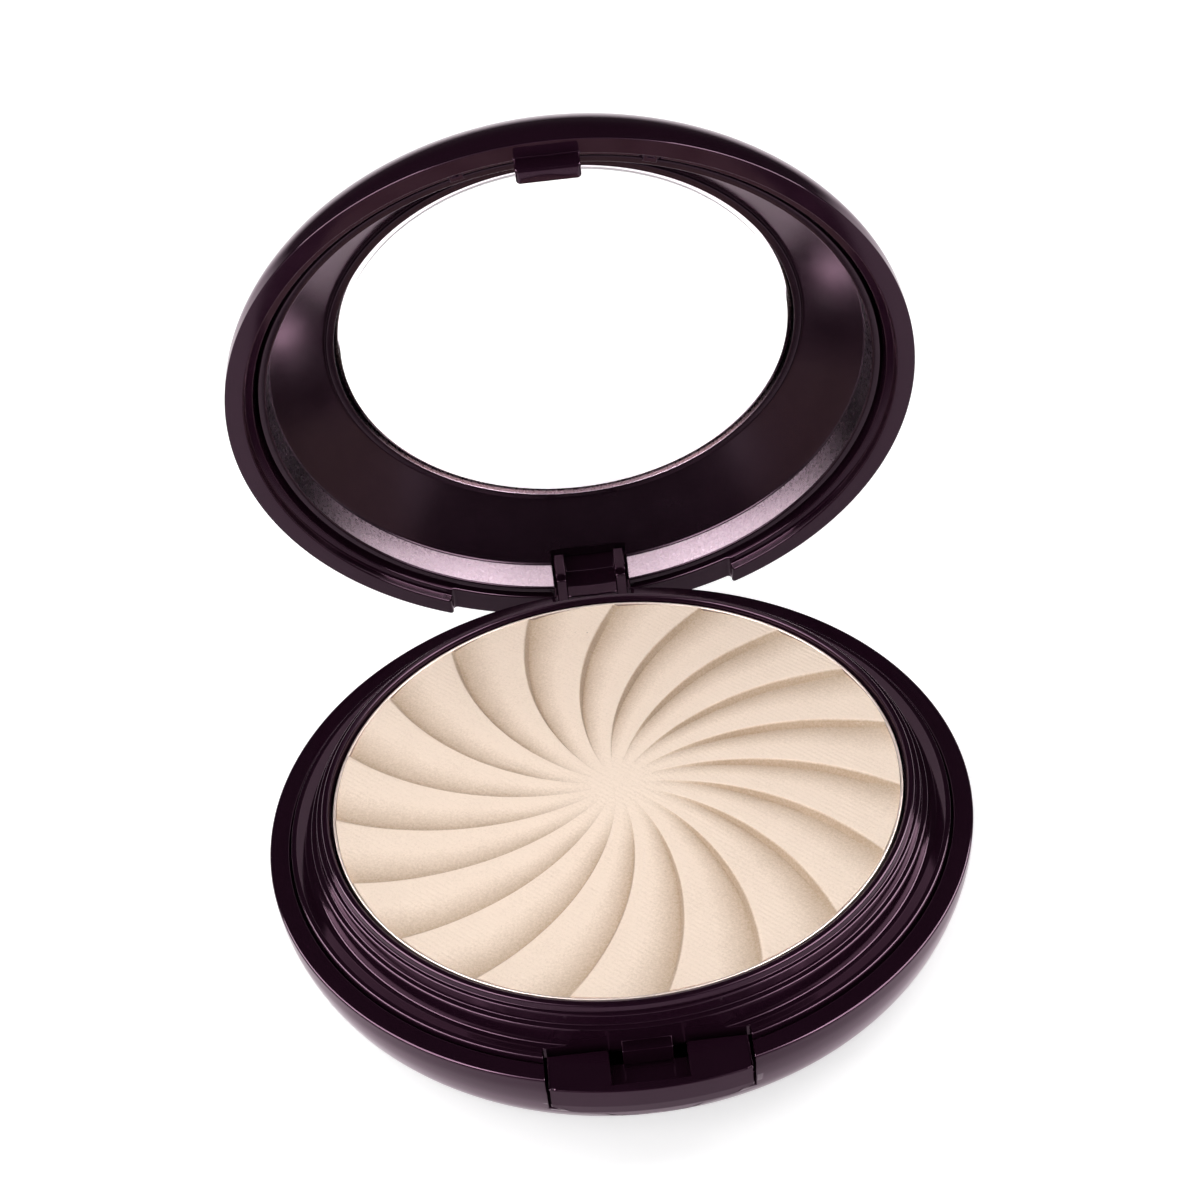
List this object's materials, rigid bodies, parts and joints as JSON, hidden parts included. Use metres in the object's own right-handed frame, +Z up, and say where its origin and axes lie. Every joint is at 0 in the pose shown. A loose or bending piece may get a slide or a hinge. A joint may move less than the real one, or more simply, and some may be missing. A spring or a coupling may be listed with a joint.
{
  "type": "powder compact",
  "caption": "Round domed powder compact with a mirror in the hinged lid, a push latch and a pan of pressed powder with a pinwheel relief.",
  "frame": {"origin": "middle of the flat underside of the base", "axes": "+Z up out of the base, +Y from the latch towards the hinge, +X to the right seen from the latch side"},
  "size_m": [0.075, 0.0899, 0.0797],
  "materials": {
    "case_plastic": "high gloss, very dark plum",
    "frame_plastic": "satin with a glossy edge, very dark plum",
    "powder": "pressed cosmetic powder, matt",
    "pan_metal": "bare drawn aluminium",
    "pin_steel": "drawn wire",
    "mirror_glass": "silvered glass, bevelled edge",
    "film": "thin white protective film, unprinted",
    "glue": "adhesive disc"
  },
  "bodies": {
    "base": {"base_shell": "case_plastic", "base_tray": "case_plastic", "pan_adhesive": "glue", "powder_pan": "pan_metal", "powder_cake": "powder", "hinge_pin": "pin_steel"},
    "button": {"latch_button": "case_plastic"},
    "lid": {"lid_shell": "case_plastic", "mirror_frame": "frame_plastic", "mirror_adhesive": "glue", "mirror": "mirror_glass", "mirror_film": "film"}
  },
  "joints": [
    {"name": "lid_hinge", "type": "hinge", "parent": "base", "child": "lid", "pos_m": [0, 0.0348, 0.00755], "axis": [-1, 0, 0], "range_deg": [-79.6, 10]},
    {"name": "button_press", "type": "slide", "parent": "base", "child": "button", "axis": [0, 1, 0], "range_m": [0, 0.0006], "stiffness_N_per_m": 1500}
  ]
}
